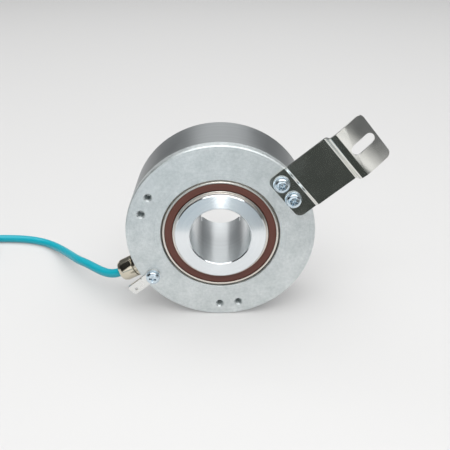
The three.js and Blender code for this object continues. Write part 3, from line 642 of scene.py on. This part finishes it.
flange = lathe("flange_turned", rounded([
    (31.6, 0.3, 0.05), (31.9, 0, 0.05), (49.4, 0, 0.06), (50, 0.6, 0.06), (50, 5.3, 0.22), (49.4, 5.3, 0.05), (49.4, 4.35, 0.1), (48.3, 4.35, 0.1),
    (48.3, 5.3, 0.05), (47.7, 5.3), (47.7, 7), (35.3, 7, 0.4), (35.3, 24, 0.3), (31.6, 24, 0.2), (31.6, 22.3, 0.1), (33.2, 22.3, 0.1),
    (33.2, 20.7, 0.1), (31.6, 20.7, 0.1), (31.6, 10.8, 0.1), (29.9, 10.8, 0.1), (29.9, 8.7, 0.1), (31.6, 8.7, 0.1)], 0.15), 192)
cutters = []
for c in PAIRS:
    for d in (-7.0, 7.0):
        cutters.append(lathe("c", [(0, -1), (3.35, -1), (1.7, 0.65)] + [(1.7 - (0.12 if k % 2 else 0), 0.65 + 0.25 * k) for k in range(1, 21)] + [(0, 6.4)], 36, at_polar(HOLE_R, c + d)))
cutters.append(lathe("c", [(0, -1), (1.65, -1), (1.65, 6), (0, 6.9)], 32, at_polar(EARTH_R, EARTH_A)))
for a in COVER:
    cutters.append(lathe("c", [(0, 2.2), (1.35, 2.9), (1.35, 12), (0, 12)], 24, at_polar(45.2, a)))
boolean(flange, cutters)
flatten(flange)
put(flange, FACE, "housing", "housing_aluminium", "front_flange")

shell = lathe("shell_turned", rounded([
    (27.2, 34.8, 0.1), (47.9, 34.8, 0.6), (47.9, 5.5), (50, 5.5, 0.22), (50, 37.9, 0.1), (49.2, 38.7, 0.1), (27.2, 38.7, 0.25)], 0.15), 192)
GF = radial_frame(GLAND_A, GLAND_Y)
cutters = [lathe("c", [(0, 40), (5.4, 40), (5.4, 49.6), (6.8, 49.6), (6.8, 60), (0, 60)], 48, GF)]
for a in COVER:
    cutters.append(lathe("c", [(0, 30), (1.7, 30), (1.7, 36.2), (3.0, 36.2), (3.0, 38.6), (3.3, 38.9), (3.3, 45), (0, 45)], 32, at_polar(45.2, a)))
boolean(shell, cutters)
flatten(shell)
put(shell, SHELL, "housing", "housing_aluminium", "housing_shell")

for i, a in enumerate(COVER):
    s = lathe("cover_cap_screw_%d" % (i + 1), rounded([
        (0, 3), (0.6, 3), (1.15, 3.6), (1.15, 36.3), (2.75, 36.3), (2.75, 38.4, 0.35), (1.5, 38.4, 0.1), (1.25, 38.2, 0.05), (0, 38.2)], 0.1), 40, at_polar(45.2, a))
    hexa = [(1.3 * math.cos(k * math.pi / 3), 1.3 * math.sin(k * math.pi / 3)) for k in range(6)]
    m = Matrix(((1, 0, 0, 0), (0, 0, 1, 0), (0, 1, 0, 0), (0, 0, 0, 1)))
    boolean(s, [prism("c", hexa, 37.0, 40.0, at_polar(45.2, a) @ m)])
    put(s, ZINC, "housing", "zinc_steel", "cover_screw_%d" % (i + 1))

# ------------------------------------------------------------------ shaft
shaft = lathe("shaft_turned", rounded([
    (16.7, -1.6, 0.08), (23.65, -1.6, 0.08), (24.15, -1.1, 0.08), (24.15, -0.05, 0.05), (23.3, -0.05, 0.05), (23.3, 0.5, 0.05), (24.15, 0.5, 0.05),
    (24.15, 19), (25.5, 19, 0.3), (25.5, 20.4, 0.3), (22.4, 20.4, 0.1), (22.4, 47.1, 0.1), (21.9, 47.6, 0.1), (17.4, 47.6, 0.1), (16.2, 46.4, 0.1),
    (16.2, -1.1, 0.1)], 0.12), 192)
cutters = []
for a in (45, 135, 225, 315):
    out = polar(1, a)
    side = out.cross(Vector((0, 1, 0)))
    basis = Matrix((side, Vector((0, 1, 0)), out)).transposed().to_4x4()
    cutters.append(prism("c", [(-0.6, 41.0), (-0.42, 40.58), (0, 40.4), (0.42, 40.58), (0.6, 41.0), (0.6, 50), (-0.6, 50)], 14, 26, basis))
boolean(shaft, cutters)
flatten(shaft)
put(shaft, TURNED, "shaft", "machined_steel", "hollow_shaft")
shaft.data.materials.append(BORE)
for poly in shaft.data.polygons:
    c = poly.center
    if math.hypot(c.x, c.z) < 0.01625:
        poly.material_index = 1


def sector_cut(o, deg, r0, r1, w, y0, y1):
    out = polar(1, deg)
    side = out.cross(Vector((0, 1, 0)))
    basis = Matrix((side, Vector((0, 1, 0)), out)).transposed().to_4x4()
    boolean(o, [prism("c", [(-w / 2, y0), (w / 2, y0), (w / 2, y1), (-w / 2, y1)], r0, r1, basis)])
    return o


# The snap ring gets the light bearing-steel finish rather than a darker spring-steel one. This is painted light: it
# makes the shaded gap behind the hub edge show mid-grey instead of black.
snap = sector_cut(ring("snap_ring", 23.4, 24.8, 0.02, 0.46, 128, 0.08), 270, 20, 30, 3.2, -1, 2)
put(snap, RING, "shaft", "spring_steel", "shaft_snap_ring")

# ------------------------------------------------------------------ bearings
for tag, y0 in (("front", 0.6), ("rear", 10.9)):
    yc = y0 + 4
    outer = lathe(tag + "_race_outer", rounded([
        (29.65, y0, 0.1), (30.62, y0, 0.06), (30.9, y0 + 0.5, 0.15), (31.5, y0 + 1.4, 0.3), (31.5, y0 + 8, 0.4), (29.65, y0 + 8, 0.1), (29.65, yc + 1.5, 0.1), (29.95, yc, 1.4), (29.65, yc - 1.5, 0.1)], 0.1), 176)
    put(outer, RING, "housing", "bearing_steel", tag + "_bearing_outer_ring")
    inner = lathe(tag + "_race_inner", rounded([
        (24.35, y0 + 0.6, 0.1), (24.75, y0, 0.06), (25.35, y0, 0.08), (25.35, yc - 1.5, 0.1), (25.1, yc, 1.4), (25.35, yc + 1.5, 0.1), (25.35, y0 + 8, 0.1), (24.35, y0 + 8, 0.3)], 0.1), 176)
    put(inner, RING, "shaft", "bearing_steel", tag + "_bearing_inner_ring")
    pr = 27.5
    bits = [ring("c", pr - 0.45, pr + 0.45, yc - 1.3, yc + 1.3, 120, 0.15)]
    ball = []
    for k in range(13):
        t = -math.pi / 2 + math.pi * k / 12
        ball.append((2.05 * math.cos(t) if 0 < k < 12 else 0.0, 2.05 * math.sin(t)))
    for k in range(26):
        p = polar(pr, k * 360 / 26, yc)
        bits.append(lathe("b", ball, 18, Matrix.Translation(p), closed=False))
    put(merge(tag + "_ball_set", bits), BALL, tag + "_cage", "ball_steel", tag + "_bearing_cage")
# contact seals: a moulded disc with a shallow channel and a lip
for tag, y0, k in (("front", 0.95, 1), ("rear", 18.55, -1)):
    pts = [(25.6, y0 + k * 0.22), (25.95, y0 + k * 0.02), (26.45, y0 + k * 0.08), (26.8, y0 + k * 0.10), (27.1, y0), (28.9, y0), (29.1, y0 + k * 0.12), (29.55, y0 + k * 0.12),
           (29.55, y0 + k * 1.0), (25.6, y0 + k * 1.0)]
    put(lathe(tag + "_lip_seal", rounded(pts, 0.12), 176), BROWN, "housing", "seal_brown", tag + "_bearing_seal")
put(ring("inner_ring_spacer", 24.4, 25.3, 8.62, 10.88, 128, 0.1), TURNED, "shaft", "machined_steel", "bearing_spacer")

# wave spring: flat strip with four waves
verts, faces = [], []
SEG = 144
for i in range(SEG):
    a = 2 * math.pi * i / SEG
    w = 18.9 + 0.75 + 0.5 * math.cos(4 * a)
    for r, dy in ((29.9, -0.15), (31.3, -0.15), (31.3, 0.15), (29.9, 0.15)):
        verts.append((r * math.cos(a), w + dy, r * math.sin(a)))
for i in range(SEG):
    j = (i + 1) % SEG
    for k in range(4):
        l = (k + 1) % 4
        faces.append((i * 4 + k, i * 4 + l, j * 4 + l, j * 4 + k))
put(make("preload_wave_spring", verts, faces), SPRING, "housing", "spring_steel", "wave_spring")
clip = ring("internal_clip", 30.0, 33.0, 20.85, 22.15, 128, 0.1)
sector_cut(clip, 90, 26, 36, 9, 18, 25)
put(clip, SPRING, "housing", "spring_steel", "retaining_ring")
put(lathe("shaft_rear_seal", rounded([(22.9, 35.3), (27.1, 35.3), (27.1, 38.4), (26.6, 38.4), (26.4, 38.1), (24.9, 38.1), (24.7, 38.4), (24.2, 38.4), (24.2, 36.6), (22.9, 36.2)], 0.12), 160),
    BROWN, "housing", "seal_brown", "rear_shaft_seal")

# ------------------------------------------------------------------ code disc, hub and electronics
hub = lathe("disc_carrier", rounded([(22.5, 20.5), (27.2, 20.5), (27.2, 24.9), (30.6, 24.9), (30.6, 26.4), (27.4, 26.4), (27.4, 28.6), (22.5, 28.6)], 0.15), 144)
boolean(hub, [lathe("c", [(0, 21), (1.3, 21), (1.3, 29), (0, 29)], 24, radial_frame(90, 22.8))])
flatten(hub)
put(hub, TURNED, "shaft", "machined_steel", "disc_hub")
put(lathe("carrier_set_screw", rounded([(0, 22.75), (0.6, 22.7), (1.2, 23.3), (1.2, 26.6), (1.0, 26.7), (0.6, 26.7), (0.55, 25.7), (0, 25.7)], 0.05), 32, radial_frame(90, 22.8)), BLACK_STEEL, "shaft", "black_steel", "disc_hub_screw")
put(ring("graduated_disc", 27.5, 42.3, 26.42, 27.4, 192, 0.08), DISC, "shaft", "disc_glass", "code_disc")

board = ring("sensor_board", 31, 47.4, 31, 32.5, 160, 0.08)
cutters = [lathe("c", [(0, 29), (1.35, 29), (1.35, 34), (0, 34)], 24, at_polar(45.2, a)) for a in (56, 176, 296)]
cutters += [lathe("c", [(0, 29), (2.0, 29), (2.0, 34), (0, 34)], 24, at_polar(45.2, a)) for a in COVER]
boolean(board, cutters)
flatten(board)
put(board, BOARD, "housing", "board_green", "circuit_board")


def radial_block(name, deg, r0, r1, w, y0, y1, rad=0.2):
    """A small moulded block with its length along a radius."""
    out = polar(1, deg)
    side = out.cross(Vector((0, 1, 0)))
    basis = Matrix((side, out, Vector((0, 1, 0)))).transposed().to_4x4()
    o = prism(name, rounded([(-w / 2, r0), (w / 2, r0), (w / 2, r1), (-w / 2, r1)], rad), y0, y1, basis)
    return o


lamp = merge("lamp_block", [radial_block("a", 256, 36.4, 42.6, 12, 7.02, 25.0, 0.5), radial_block("b", 256, 37.4, 41.6, 9, 25.0, 25.6, 0.4)])
soften(lamp, 0.2)
put(lamp, CHIP, "housing", "chip_black", "light_source")
sensor = merge("sensor_package", [radial_block("a", 256, 35, 43, 12, 29.4, 30.98, 0.0), radial_block("b", 256, 36.5, 41.5, 8, 28.3, 29.36, 0.0)]
               + [radial_block("l", 256 + s * 9.6, 35.6 + 1.0 * k, 36.0 + 1.0 * k, 1.0, 30.6, 30.95, 0.0) for s in (-1, 1) for k in range(7)])
soften(sensor, 0.12)
put(sensor, CHIP, "housing", "chip_black", "sensor_chip")
plugin = merge("board_socket", [radial_block("a", 218, 39, 46, 8, 28.3, 30.98, 0.3)])
soften(plugin, 0.2)
put(plugin, CHIP, "housing", "chip_black", "board_connector")
smd = []
for a, r, w, l, h in ((20, 38, 5, 5, 1.2), (38, 42, 3, 1.6, 0.6), (72, 38, 7, 7, 1.3), (88, 42, 2, 1.2, 0.6), (96, 36, 3, 1.6, 0.7), (128, 40, 6, 4, 1.4), (146, 37, 2, 1.2, 0.6),
                      (158, 42, 3, 1.6, 0.7), (196, 38, 4, 4, 1.2), (278, 40, 5, 5, 1.3), (312, 38, 3, 1.6, 0.7), (328, 41, 6, 5, 1.1), (340, 36, 2, 1.2, 0.6)):
    smd.append(radial_block("s", a, r - l / 2, r + l / 2, w, 32.5, 32.5 + h, 0.0))
chips = merge("board_components", smd)
soften(chips, 0.08)
put(chips, CHIP, "housing", "chip_black")

# ------------------------------------------------------------------ clamp ring at the rear
clamp = lathe("clamp_collar", rounded([(22.5, 39.9, 0.1), (28.3, 39.9, 0.08), (29, 40.6, 0.08), (29, 45.9, 0.08), (28.3, 46.6, 0.08), (22.5, 46.6, 0.1)], 0.1), 176)
out90 = polar(1, 90)
split_basis = Matrix((Vector((1, 0, 0)), Vector((0, 1, 0)), Vector((0, 0, 1)))).transposed().to_4x4()
ACROSS = Matrix.Translation(Vector((0, 43.25, 25.75))) @ Matrix.Rotation(-math.pi / 2, 4, "Z")
cutters = [prism("c", [(-0.8, 38), (0.8, 38), (0.8, 50), (-0.8, 50)], 20, 32, split_basis),
           lathe("c", [(0, -12), (1.35, -12), (1.35, 4.6), (2.6, 4.6), (2.6, 20), (0, 20)], 36, ACROSS)]
boolean(clamp, cutters)
flatten(clamp)
put(clamp, TURNED, "shaft", "machined_steel", "clamp_ring")
cs = lathe("clamp_cap_screw", rounded([(0, -8.5), (0.9, -8.5), (1.25, -8.1), (1.25, 4.75), (2.4, 4.75), (2.4, 7.2, 0.3), (1.35, 7.2, 0.1), (1.25, 7.1, 0.02), (0, 7.1)], 0.1), 36, ACROSS)
hexa = [(1.25 * math.cos(k * math.pi / 3), 1.25 * math.sin(k * math.pi / 3)) for k in range(6)]
m = Matrix(((1, 0, 0, 0), (0, 0, 1, 0), (0, 1, 0, 0), (0, 0, 0, 1)))
boolean(cs, [prism("c", hexa, 5.9, 9, ACROSS @ m)])
put(cs, BLACK_STEEL, "shaft", "black_steel", "clamp_screw")

# ------------------------------------------------------------------ torque arm
ARM_A, ARM_TC, ARM_W = 40.5, 4.8, 26.6
U = polar(1, ARM_A)
T = Vector((math.sin(ARM_A * D2R), 0, -math.cos(ARM_A * D2R)))


def arm():
    bend = [(38.1, -1.0, 0), (49.4, -1.0, 1.0), (50.2, -1.9, 1.2), (73.6, -2.3, 0.8), (75.3, -7.0, 1.7), (79, -7.5, 3), (81.5, -7.17, 20), (85, -6.40, 30), (89, -5.32, 30), (94, -3.85, 0)]
    front = rounded(bend, 1, 7, closed=False)
    n = len(front)
    back = []
    for i, (u, y) in enumerate(front):
        a, b = front[max(i - 1, 0)], front[min(i + 1, n - 1)]
        d = Vector((b[0] - a[0], b[1] - a[1])).normalized()
        back.append((u - d.y * 0.98, y + d.x * 0.98))
    back[0] = (38.1, -0.02)
    w0, w1 = ARM_TC - ARM_W / 2, ARM_TC + ARM_W / 2
    verts, faces = [], []
    loop = front + back[::-1]
    m = len(loop)
    cuts = 1
    for k in range(cuts + 1):
        t = w0 + (w1 - w0) * k / cuts
        for u, y in loop:
            verts.append(U * u + T * t + Vector((0, y, 0)))
    for k in range(cuts):
        for i in range(m):
            j = (i + 1) % m
            faces.append((k * m + i, k * m + j, (k + 1) * m + j, (k + 1) * m + i))
    for k in (0, cuts):
        for i in range(n - 1):
            q = (i, i + 1, m - 2 - i, m - 1 - i)
            faces.append(tuple(k * m + v for v in (q if k else q[::-1])))
    o = make("torque_arm_strip", verts, faces)
    basis = Matrix((U, T, Vector((0, 1, 0)))).transposed().to_4x4()
    u0, u1 = 38.1, 94.0

    def corner(cu, ct, r, a0, a1, k=8):
        return [(cu + r * math.cos((a0 + (a1 - a0) * i / k) * D2R), ct + r * math.sin((a0 + (a1 - a0) * i / k) * D2R)) for i in range(k + 1)]

    outline = (corner(u1 - 3, w0 + 3, 3, -90, 0) + corner(u1 - 3, w1 - 3, 3, 0, 90)
               + corner(u0 + 3.4, w1 - 3.4, 3.4, 90, 180) + corner(u0 + 3.4, w0 + 3.4, 3.4, 180, 270))
    boolean(o, [prism("c", outline, -20, 10, basis)], "INTERSECT")
    h = 2.8
    slot = [(89.9 + h * math.cos(a * D2R), 4.3 + h * math.sin(a * D2R)) for a in range(-90, 91, 10)]
    slot += [(82.7 + h * math.cos(a * D2R), 4.3 + h * math.sin(a * D2R)) for a in range(90, 271, 10)]
    cut = [prism("c", slot, -20, 10, basis)]
    for d in (-7.0, 7.0):
        cut.append(lathe("c", [(0, -10), (2.2, -10), (2.2, 5), (0, 5)], 40, at_polar(HOLE_R, PAIRS[0] + d)))
    boolean(o, cut)
    soften(o, 0.12, 50)
    return o


strip = arm()
assert len(strip.data.polygons) > 100, "the torque arm lost its shape"
put(strip, ARM_STEEL, "housing", "arm_stainless", "torque_arm")


def pan_screw(name, p, seat, head_r, head_h, node, turn=20):
    """Pan-head screw with a crowned head and a tapered cross recess."""
    face = seat - head_h
    crown = []
    for k in range(9):
        t = k / 8 * math.pi / 2
        crown.append((head_r * (0.50 + 0.50 * math.sin(t)), face + head_h * 0.62 * (1 - math.cos(t))))
    prof = [(0, face), (head_r * 0.3, face)] + crown + [(head_r, seat - 0.15), (head_r - 0.15, seat), (1.42, seat), (1.42, 4.8), (1.0, 5.2), (0, 5.2)]
    s = lathe(name, prof, 64, Matrix.Translation(Vector((p.x, 0, p.z))), closed=False, sharp=38)
    cut = []
    for q in (0, 90):
        m = Matrix.Translation(Vector((p.x, 0, p.z))) @ Matrix.Rotation((turn + q) * D2R, 4, "Y")
        w, l, d = head_r * 0.12, head_r * 0.53, head_h * 0.62
        verts = []
        for y, sc in ((face - 0.4, 1.12), (face + d, 0.55)):
            for sx, sz in ((-1, -1), (1, -1), (1, 1), (-1, 1)):
                verts.append((sx * l * sc, y, sz * w * (sc if sc > 1 else 0.8)))
        cut.append(make("c", verts, [(0, 1, 2, 3), (7, 6, 5, 4), (0, 4, 5, 1), (1, 5, 6, 2), (2, 6, 7, 3), (3, 7, 4, 0)], m))
    boolean(s, cut, sharp=38)
    soften(s, 0.06, 50)
    return put(s, ZINC, "housing", "zinc_steel", node)


for i, d in enumerate((-7.0, 7.0)):
    p = polar(HOLE_R, PAIRS[0] + d)
    w = ring("arm_flat_washer_%d" % (i + 1), 2.2, 4.3, -1.8, -1.02, 72, 0.12, Matrix.Translation(Vector((p.x, 0, p.z))))
    put(w, ZINC, "housing", "zinc_steel", "arm_washer_%d" % (i + 1))
    pan_screw("arm_pan_screw_%d" % (i + 1), p, -1.85, 3.9, 2.6, "arm_screw_%d" % (i + 1), 20 + 21 * i)


# ------------------------------------------------------------------ earth terminal
def terminal():
    out = polar(1, EARTH_A + 4.9)
    side = Vector((-out.z, 0, out.x))
    c = polar(EARTH_R, EARTH_A)
    basis = Matrix((out, side, Vector((0, 1, 0)))).transposed().to_4x4()
    basis.translation = Vector((c.x, 0, c.z))
    pts = [(4.1 * math.cos((52 + 256 * i / 32) * D2R), 4.1 * math.sin((52 + 256 * i / 32) * D2R)) for i in range(33)]
    pts += [(4.3, -3.35), (5.2, -3.42), (14.9, -3.42), (16.0, -2.3), (16.0, 1.8), (14.9, 2.88), (5.2, 2.88), (4.3, 2.83)]
    o = prism("earth_tab", pts, -0.82, -0.02, basis)
    lip = prism("c", [(-3.42, -1.75), (-2.62, -1.75), (-2.62, -0.5), (-3.42, -0.5)], 6.0, 14.8,
                basis @ Matrix(((0, 0, 1, 0), (1, 0, 0, 0), (0, 1, 0, 0), (0, 0, 0, 1))))
    boolean(o, [lip], "UNION")
    hole = basis @ Matrix.Translation(Vector((12.6, 0.4, 0)))
    boolean(o, [lathe("c", [(0, -3), (2.15, -3), (2.15, 2), (0, 2)], 40, Matrix.Translation(Vector((c.x, 0, c.z)))),
                lathe("c", [(0, -3), (0.85, -3), (0.85, 2), (0, 2)], 28, Matrix.Translation(hole.translation))])
    soften(o, 0.13, 50)
    return o


put(terminal(), TIN, "housing", "tinned_brass", "earth_terminal")
pe = polar(EARTH_R, EARTH_A)
put(ring("earth_flat_washer", 2.15, 3.9, -1.6, -0.85, 72, 0.12, Matrix.Translation(Vector((pe.x, 0, pe.z)))), ZINC, "housing", "zinc_steel", "earth_washer")
pan_screw("earth_pan_screw", pe, -1.65, 3.7, 2.5, "earth_screw", 8)

# ------------------------------------------------------------------ cable gland
y = 45.2
prof = [(3.3, 44.8, 0.1), (4.9, 44.8, 0.1)]
while y < 49.2:
    prof += [(5.25, y + 0.25, 0.05), (4.95, y + 0.75, 0.05)]
    y += 1.0
prof += [(5.25, 50.5, 0.1), (6.0, 50.5, 0.2), (6.3, 50.8, 0.1), (6.3, 53.9, 0.1), (6.0, 54.2, 0.2), (5.2, 54.2, 0.1), (5.2, 57.5, 0.2), (3.3, 57.5, 0.2)]
gb = lathe("gland_turned_body", rounded(prof, 0.1), 96, GF)
put(gb, NICKEL, "housing", "nickel_brass", "gland_body")
gn = lathe("gland_cap_nut", rounded([(5.4, 54.5, 0.1), (6.1, 54.5, 0.1), (6.3, 54.7, 0.1), (6.3, 61.2, 0.5), (5.7, 62.9, 0.7), (4.6, 63.7, 0.3), (3.0, 63.7, 0.2), (3.0, 62, 0.1), (5.4, 60.5, 0.1)], 0.1), 120, GF)
put(gn, NICKEL, "housing", "nickel_brass", "gland_nut")
put(lathe("gland_ring_seal", [(5.775 + 0.425 * math.cos(k * math.pi / 6), 50.05 + 0.42 * math.sin(k * math.pi / 6)) for k in range(12)], 72, GF), BLACK_RUBBER, "housing", "rubber_black", "gland_o_ring")
put(lathe("gland_grommet", rounded([(2.75, 57.9), (5.1, 57.9), (5.1, 60.1), (3.6, 61.3), (2.75, 61.3)], 0.15), 72, GF), BLACK_RUBBER, "housing", "rubber_black", "gland_seal")

# ------------------------------------------------------------------ finishes on the CAD nodes that stay
for node, material in {
    "housing_o_ring": BLACK_RUBBER, "board_pillar_1": BRASS, "board_pillar_2": BRASS, "board_pillar_3": BRASS,
    "board_screw_1": ZINC, "board_screw_2": ZINC, "board_screw_3": ZINC, "cable_inside_gland": TEAL, "signal_cores": TEAL,
}.items():
    o = bpy.data.objects[node]
    o.data.materials.clear()
    o.data.materials.append(material)

# ------------------------------------------------------------------ floor and light
def stage_plane(name, x0, x1, y0, y1, z, color, rough, glow=0.0):
    me = bpy.data.meshes.new(name)
    me.from_pydata([(x0, y0, z), (x1, y0, z), (x1, y1, z), (x0, y1, z)], [], [(0, 1, 2, 3)])
    o = bpy.data.objects.new(name, me)
    scene.collection.objects.link(o)
    mat = bpy.data.materials.new(name)
    mat.use_nodes = True
    b = mat.node_tree.nodes["Principled BSDF"]
    b.inputs["Base Color"].default_value = (*color, 1)
    b.inputs["Roughness"].default_value = rough
    b.inputs["Specular IOR Level"].default_value = 0.2
    b.inputs["Emission Color"].default_value = (1, 1, 1, 1)
    b.inputs["Emission Strength"].default_value = glow
    me.materials.append(mat)
    return o


floor = stage_plane("floor", -8, 8, -5, 9, -0.0502, (0.44, 0.437, 0.433), 0.75, 0.20)
card_grey = stage_plane("grey_card", -0.40, 0.040, -0.42, -0.104, -0.0490, (0.26, 0.31, 0.34), 0.8)
flag = stage_plane("side_flag", -0.6, 0.6, -0.55, 0.55, 0, (0.01, 0.01, 0.01), 0.9)
flag.rotation_euler = (0, math.radians(90), 0)
flag.location = (-0.8, -0.5, 0.65)
card_dark = stage_plane("dark_card", 0.040, 0.40, -0.42, -0.112, -0.0490, (0.021, 0.025, 0.022), 0.8)
for c in (card_grey, card_dark, flag):
    c.visible_camera = False
    c.visible_shadow = False
    c.visible_diffuse = False

# pale wall a few metres away on every side, behind whatever the camera looks at
wall_verts, wall_faces = [], []
for i in range(96):
    a = 2 * math.pi * i / 96
    for z in (-0.0502, 5.0):
        wall_verts.append((2.8 * math.cos(a), 2.8 * math.sin(a), z))
for i in range(96):
    j = (i + 1) % 96
    wall_faces.append((i * 2, j * 2, j * 2 + 1, i * 2 + 1))
wall_mesh = bpy.data.meshes.new("wall")
wall_mesh.from_pydata(wall_verts, [], wall_faces)
wall = bpy.data.objects.new("wall", wall_mesh)
scene.collection.objects.link(wall)
wall_mat = bpy.data.materials.new("wall")
wall_mat.use_nodes = True
wall_bsdf = wall_mat.node_tree.nodes["Principled BSDF"]
wall_bsdf.inputs["Base Color"].default_value = (0.1, 0.1, 0.1, 1)
wall_bsdf.inputs["Roughness"].default_value = 0.9
wall_bsdf.inputs["Emission Color"].default_value = (1, 1, 1, 1)
wall_bsdf.inputs["Emission Strength"].default_value = 0.60
wall_mesh.materials.append(wall_mat)
wall.visible_glossy = False
wall.visible_diffuse = False
wall.visible_shadow = False
wall.visible_transmission = False


def area(name, loc, target, size, size_y, radiance, color=(1, 1, 1)):
    """A rectangular soft light. Its power is set from the brightness that it shows."""
    d = bpy.data.lights.new(name, "AREA")
    d.shape = "RECTANGLE"
    d.size, d.size_y = size, size_y
    d.energy = radiance * math.pi * size * size_y
    d.color = color
    o = bpy.data.objects.new(name, d)
    o.location = loc
    o.rotation_euler = (Vector(target) - Vector(loc)).to_track_quat("-Z", "Y").to_euler()
    o.visible_camera = False
    scene.collection.objects.link(o)
    return o


area("overhead", (0, -0.10, 2.2), (0, -0.10, 0), 4.4, 3.6, 2.15)
back_wide = area("back_wide", (0, 2.3, 1.30), (0, 0, 0), 3.4, 1.5, 0.13, (0.96, 0.99, 1.0))
back_strip = area("back_strip", (0.02, 1.9, 0.95), (0, 0, 0), 1.10, 1.1, 0.70)
front_low = area("front_low", (0.0, -1.6, 0.30), (0, 0, 0), 2.0, 0.8, 1.0)
for o in (back_wide, back_strip, front_low):
    o.visible_diffuse = False
fill = area("front_fill", (0.0, -0.70, 0.80), (0, 0, -0.05), 1.2, 0.6, 3.0)
fill.visible_glossy = False
area("floor_strip", (0.0, -0.56, -0.044), (0, -0.56, 1), 0.022, 0.76, 3.4)

world = bpy.data.worlds.new("studio")
world.use_nodes = True
bg = world.node_tree.nodes["Background"]
bg.inputs[0].default_value = (0.94, 0.97, 1.0, 1)
bg.inputs[1].default_value = 0.14
scene.world = world
scene.view_settings.view_transform = "Standard"
scene.view_settings.look = "None"
